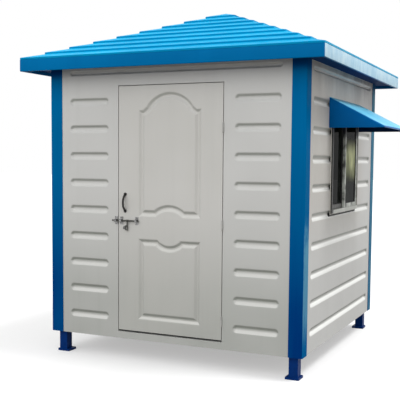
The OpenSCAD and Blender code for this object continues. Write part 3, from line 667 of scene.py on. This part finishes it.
def flutedPanel(node):
    # the outer face, sides that run back from its rim, and one flat inner face
    shape, grid, held = fluteShape, panelGrid, fluteShading
    side = node.split("_")[0]
    out, ahead = (np.array((*way, 0.0)) for way in sides[side])
    low, high = boxOf(node)
    ends = np.sort([(low - middle) @ ahead, (high - middle) @ ahead])
    inner, outer = np.sort([(low - middle) @ out, (high - middle) @ out])
    runs = fluteRuns(side)
    first, last, centre, reach = runs.T[:, :, None, None]
    slope = np.minimum(shape["slope"], shape["slopeMost"] * reach)
    steps = np.linspace(-grid["slopePast"], 1 + grid["slopePast"], grid["slopeLines"])
    over = (reach - slope * steps)[:, 0]
    tip = np.linspace(-grid["tipBefore"], shape["tall"] / 2 + grid["tipPast"], grid["tipLines"])
    across = np.concatenate([(first[:, 0] + tip).ravel(), (last[:, 0] - tip).ravel()])
    upward = np.concatenate([centre[:, 0] - over, centre[:, 0], centre[:, 0] + over], 1).ravel()
    u, v = np.meshgrid(linesBetween(*ends, across), linesBetween(low[2], high[2], upward))
    beyond = np.maximum(first + reach - u, u - last + reach)
    up = v - centre
    gap = np.hypot(np.maximum(beyond, 0), up)
    sunk = np.clip((reach - gap) / slope, 0, 1)
    sunk = sunk ** 2 * (3 - 2 * sunk)
    top = np.arange(len(runs))[:, None, None] == 0
    onSlope = 4 * sunk * (1 - sunk)  # 1 half way down a slope, 0 at its ends
    # painted shade down the upper slope and flat of each flute but the top one, the ledge that is painted
    # lighter, and painted shade on the top flute's ledge
    marks = {"fluteShade": (onSlope + held["flat"] * sunk) * (up > 0) * ~top,
             "ledge": (1 - (1 - sunk) ** 2) * np.clip(held["ledgeFrom"] - up / held["ledgeSoft"], 0, 1),
             "ledgeShade": onSlope * (up < 0) * top}
    push = shape["deep"] * sunk.max(0)
    front = middle * (1, 1, 0) + u[..., None] * ahead + v[..., None] * (0, 0, 1)
    front = (front + (outer - push)[..., None] * out).reshape(-1, 3)
    index = np.arange(u.size).reshape(u.shape)
    rim = np.concatenate([index[0, :-1], index[:-1, -1], index[-1, :0:-1], index[:0:-1, 0]])
    back = front[rim] + (inner - outer + push.ravel()[rim])[:, None] * out
    rear = u.size + np.arange(len(rim))
    rimSides = np.stack([rim, np.roll(rim, -1), np.roll(rear, -1), rear], 1)
    points, blocks = np.concatenate([front, back]), [gridQuads(*u.shape), rimSides, rear[None, :]]
    marks = {mark: np.append(values.max(0), np.zeros(len(rim))) for mark, values in marks.items()}
    return addPiece(node + "_skin", points, blocks, "wallWhite", "cabin", "panel", marks)


panels = [node for node in wears["wallWhite"] if "_wall" in node and node != "front_wall_sill"]
for node in panels:
    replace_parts(flutedPanel(node), node)
print("wall panels:", len(panels))


# window: black gaskets round both faces of each pane, and a bead of sealant round the frame, each a small
# section carried round a rectangle
windowTrim = {"sash": 0.034, "paneThick": 0.005, "cuts": 2,
              "gasketWide": 0.009, "gasketTall": 0.006, "gasketRound": 0.003,
              "beadWide": 0.007, "beadLap": 0.002, "beadSunk": 0.001, "beadRound": 0.002, "beadCuts": 4}
gasketSection = [(-0.001, 0), (-0.001, 1), (0.35, 1), (0.8, 0.55), (1, 0)]  # shares of its width and height


def onRightWall(rings, plane, alongY, way=1):
    # rings stood up against the right wall, round the window's middle height
    height = (windowLow + windowHigh) / 2
    return np.stack([plane + way * rings[..., 2], alongY + rings[..., 0], height + rings[..., 1]], -1)


trim = windowTrim
low, high = boxOf("window_glass")
paneHalf = ((high[1] - trim["sash"] / 2) / 2, (high[2] - low[2]) / 2)
panes = {"rear": (high[0], high[1] - paneHalf[0]),
         "front": (low[0] + trim["paneThick"], low[1] + paneHalf[0])}
section = np.array(gasketSection) * (trim["gasketWide"], trim["gasketTall"])
rings = frameRings(section, paneHalf, trim["gasketRound"], trim["cuts"], trim["cuts"])
for name, (outside, alongY) in panes.items():
    addRing(name + "GasketOut", onRightWall(rings, outside, alongY), "gasketBlack")
    addRing(name + "GasketIn", onRightWall(rings, outside - trim["paneThick"], alongY, -1), "gasketBlack")
wide = trim["beadWide"]
bead = bend((0.0, trim["beadLap"]), (0.0, wide), (-wide, 0.0), trim["beadCuts"])[::-1]
bead = np.concatenate([bead, [(trim["beadLap"], -trim["beadSunk"])]])
low, high = boxOf("window_jambs")
rings = frameRings(bead, (high - low)[1:] / 2, trim["beadRound"], trim["cuts"], trim["cuts"])
addRing("windowSealant", onRightWall(rings, wallPlane, (low + high)[1] / 2), "sealantPale")

# strip that closes the flute under the window frame, a black piece standing in for the shadow there:
# a rounded section carried along it
stripShape = {"deep": 0.016, "shy": 0.002, "top": 0.003, "foot": 0.023,
              "round": 0.010, "cuts": 5, "forward": 0.014}
shape = stripShape
inner, outer = wallPlane - shape["deep"], wallPlane - shape["shy"]
top, foot = low[2] + shape["top"], low[2] - shape["foot"]
curve = bend((outer, foot + shape["round"]), (outer, foot), (inner, foot), shape["cuts"])
section = np.concatenate([[(inner, top), (outer, top)], curve])
ends = (low[1] - shape["forward"], high[1] - shape["forward"])
addStrip("windowShadowStrip", section, ends, 1, "gasketBlack", "cabin")
print("window trim added")


# awning: one folded sheet over the window, its folds rounded by a bevel and then given its thickness
awningShape = {"lip": 0.014, "fold": 0.007, "foldCuts": 3, "sheet": 0.005}
low, high = boxOf(*wears["awningBlue"])
near, far = low[0], high[0]
outline = np.array([(near, high[2]), (far, low[2] + awningShape["lip"]), (far, low[2]), (near, low[2])])
ends = np.array([low[1], high[1]])
x, z = np.repeat(outline, 2, axis=0).T
points = np.stack([x, np.tile(ends, len(outline)), z], 1)
folded = np.array([(0, 1, 3, 2), (2, 3, 5, 4), (0, 2, 4, 6), (1, 7, 5, 3)])  # slope, lip and the two cheeks
awningShell = addPiece("awningShell", points, [folded], "awningBlue", "cabin")
fold = awningShell.modifiers.new("fold", "BEVEL")
fold.width, fold.segments, fold.limit_method = awningShape["fold"], awningShape["foldCuts"], "ANGLE"
fold.harden_normals = True
thick = awningShell.modifiers.new("thick", "SOLIDIFY")
thick.thickness, thick.offset = awningShape["sheet"], -1.0
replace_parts(awningShell, *wears["awningBlue"])
print("awning folded")


# strip under the door: a rubber lip, a rounded section carried along its foot
sweepShape = {"inset": 0.004, "thick": 0.010, "hang": 0.009, "lap": 0.002, "frontRound": 0.004,
              "backRound": 0.002, "sideGap": 0.004, "cuts": 4}
shape = sweepShape
low, high = boxOf("door_leaf")
near, top, foot = low[1] + shape["inset"], low[2] + shape["lap"], low[2] - shape["hang"]
far = near + shape["thick"]
nearRound, farRound = shape["frontRound"], shape["backRound"]
section = np.concatenate([
    [(near, top)],
    bend((near, foot + nearRound), (near, foot), (near + nearRound, foot), shape["cuts"]),
    bend((far - farRound, foot), (far, foot), (far, foot + farRound), shape["cuts"]),
    [(far, top)]])
ends = (low[0] + shape["sideGap"], high[0] - shape["sideGap"])
addStrip("doorSweep", section, ends, 0, "gasketBlack", "door")


# screw heads on the latch plates: a shallow dome over (ring, angle) with a cross pressed into it
screwShape = {"radius": 0.0036, "tall": 0.0018, "cross": 0.0006, "crossDeep": 0.0011, "crossReach": 0.6,
              "plateThick": 0.003, "up": 0.0215, "aside": 0.0078, "rings": 8, "angles": 40}
shape = screwShape
radii = np.linspace(0, 1, shape["rings"] + 1)[1:, None] * shape["radius"]
count = np.arange(shape["angles"])
angles = np.linspace(0, 2 * math.pi, shape["angles"], endpoint=False)[None, :]
alongX, alongZ = radii * np.cos(angles), radii * np.sin(angles)
dome = shape["tall"] * np.sqrt(np.clip(1 - (radii / shape["radius"]) ** 2, 0, 1))
inCross = np.minimum(np.abs(alongX), np.abs(alongZ)) < shape["cross"]
inCross = inCross & (radii < shape["crossReach"] * shape["radius"])
dome = np.where(inCross, shape["tall"] - shape["crossDeep"], dome)
head = np.stack([alongX, -dome, alongZ], -1).reshape(-1, 3)
head = np.concatenate([[(0, shape["crossDeep"] - shape["tall"], 0)], head])
hub = np.stack([np.zeros_like(count), 1 + count, 1 + (count + 1) % shape["angles"]], 1)
around = gridQuads(shape["rings"], shape["angles"], wrapCols=True) + 1
seat = (len(head) - shape["angles"] + count)[None, :]
spots = [(aside, up) for aside in (-shape["aside"], shape["aside"]) for up in (-shape["up"], shape["up"])]
staple, guides = boxOf("latch_staple"), boxOf("latch_guides")
plateHalf, latchHeight = (staple[1][0] - staple[0][0]) / 2, (staple[0][2] + staple[1][2]) / 2
plateFace = staple[1][1] - shape["plateThick"]
plates = {"stapleScrews": ("cabin", [staple[0][0] + plateHalf]),
          "guideScrews": ("door", [guides[0][0] + plateHalf, guides[1][0] - plateHalf])}
for name, (body, centres) in plates.items():
    places = np.array([(x + aside, plateFace, latchHeight + up) for x in centres for aside, up in spots])
    shift = np.arange(len(places)) * len(head)
    points = (head[None] + places[:, None]).reshape(-1, 3)
    blocks = [(faces[None] + shift[:, None, None]).reshape(-1, faces.shape[1])
              for faces in (hub, around, seat)]
    addPiece(name, points, blocks, "screwZinc", body, "screw")
print("door strip and screws added")


# floor, light and camera
studio = {"floorHalf": 60.0, "floorPale": srgb(252, 252, 252), "floorPaler": srgb(255, 255, 255),
          "floorBounce": srgb(122, 120, 116), "floorCloud": 0.8, "cloudDetail": 2.0, "floorRough": 0.9,
          "white": (1, 1, 1, 1), "shadowThin": 0.4, "ambient": 0.85,
          "keyFrom": (-0.2, -3.6, 1.9), "keyStrength": 1.19, "keyAngle": 60.0,
          "highFrom": (1.05, 0.25, 2.3), "highStrength": 1.75, "highAngle": 18.0}

floorMesh = bpy.data.meshes.new("paleFloor")
half = studio["floorHalf"]
floorCorners = [(-half, -half, 0), (half, -half, 0), (half, half, 0), (-half, half, 0)]
floorMesh.from_pydata(floorCorners, [], [(0, 1, 2, 3)])
paleFloor = bpy.data.objects.new("paleFloor", floorMesh)
bpy.context.scene.collection.objects.link(paleFloor)


def sightRay(start):
    # 1 for what the camera sees directly, in gloss or through glass, else 0
    path = start.make("ShaderNodeLightPath").socket.node
    direct, gloss, glass = (Wire(start.tree, path.outputs["Is " + kind + " Ray"])
                            for kind in ("Camera", "Glossy", "Transmission"))
    return start.math("MAXIMUM", start.math("MAXIMUM", direct, gloss), glass)


def floorPaint(where):
    cloud = where.noise(studio["floorCloud"], studio["cloudDetail"])
    pale = cloud.tint(studio["floorPale"], studio["floorPaler"])
    return {"Base Color": sightRay(where).tint(studio["floorBounce"], pale),
            "Roughness": studio["floorRough"], "Specular IOR Level": 0.0}


floorMesh.materials.append(makeFinish("paleFloor", floorPaint))
# in sight the floor glows a little white of its own, which thins the shadow
floorTree = floorMesh.materials[0].node_tree
start = Wire(floorTree)
glow = start.make("ShaderNodeEmission", None, {"Color": studio["white"], "Strength": 1.0})
lit = Wire(floorTree, floorTree.nodes["Principled BSDF"].outputs[0])
share = sightRay(start) * studio["shadowThin"]
thinned = start.make("ShaderNodeMixShader", None, {0: share, 1: lit, 2: glow})
floorTree.links.new(thinned.socket, floorTree.nodes["Material Output"].inputs["Surface"])

world = bpy.data.worlds.new("studioWorld")
bpy.context.scene.world = world
world.use_nodes = True
tree = world.node_tree
tree.nodes.clear()
start = Wire(tree)
dim, pale = (start.make("ShaderNodeBackground", None, {"Color": studio["white"], "Strength": strength})
             for strength in (studio["ambient"], 1.0))
both = start.make("ShaderNodeMixShader", None, {0: sightRay(start), 1: dim, 2: pale})
tree.links.new(both.socket, tree.nodes.new("ShaderNodeOutputWorld").inputs["Surface"])

# one broad soft light on the front, and a high one from the right that grazes the right wall
for name in ("key", "high"):
    lamp = bpy.data.lights.new(name + "Light", "SUN")
    lamp.energy, lamp.angle = studio[name + "Strength"], math.radians(studio[name + "Angle"])
    stand = bpy.data.objects.new(name + "Light", lamp)
    stand.location = studio[name + "From"]
    stand.rotation_euler = (-Vector(studio[name + "From"])).to_track_quat("-Z", "Y").to_euler()
    bpy.context.scene.collection.objects.link(stand)

# the camera stands as the photo's did: it was fitted to the cabin's corners, and is placed from its middle
photoCamera = {"place": (2.7081, -6.3519, 1.5683), "yaw": 24.84, "pitch": 4.34, "roll": 0.45,
               "focalPixels": 789.1, "middleRow": 220.0, "imageSize": 400.0,
               "sensor": 36.0, "clipEnd": 200.0}
yaw, pitch, roll = (math.radians(photoCamera[key]) for key in ("yaw", "pitch", "roll"))
ahead = Vector((-math.sin(yaw) * math.cos(pitch), math.cos(yaw) * math.cos(pitch), -math.sin(pitch)))
level = Vector((math.cos(yaw), math.sin(yaw), 0))
above = level.cross(ahead)
right = level * math.cos(roll) + above * math.sin(roll)
up = above * math.cos(roll) - level * math.sin(roll)
lens = bpy.data.cameras.new("photoCamera")
lens.sensor_width = photoCamera["sensor"]
lens.lens = photoCamera["focalPixels"] / photoCamera["imageSize"] * photoCamera["sensor"]
lens.shift_y = photoCamera["middleRow"] / photoCamera["imageSize"] - 0.5
lens.clip_end = photoCamera["clipEnd"]
camera = bpy.data.objects.new("photoCamera", lens)
camera.matrix_world = Matrix((right, up, -ahead)).transposed().to_4x4()
camera.location = Vector(photoCamera["place"]) + Vector((middle[0], middle[1], 0))
bpy.context.scene.collection.objects.link(camera)
bpy.context.scene.camera = camera
bpy.context.scene.view_settings.view_transform = "Standard"
print("studio and camera set")
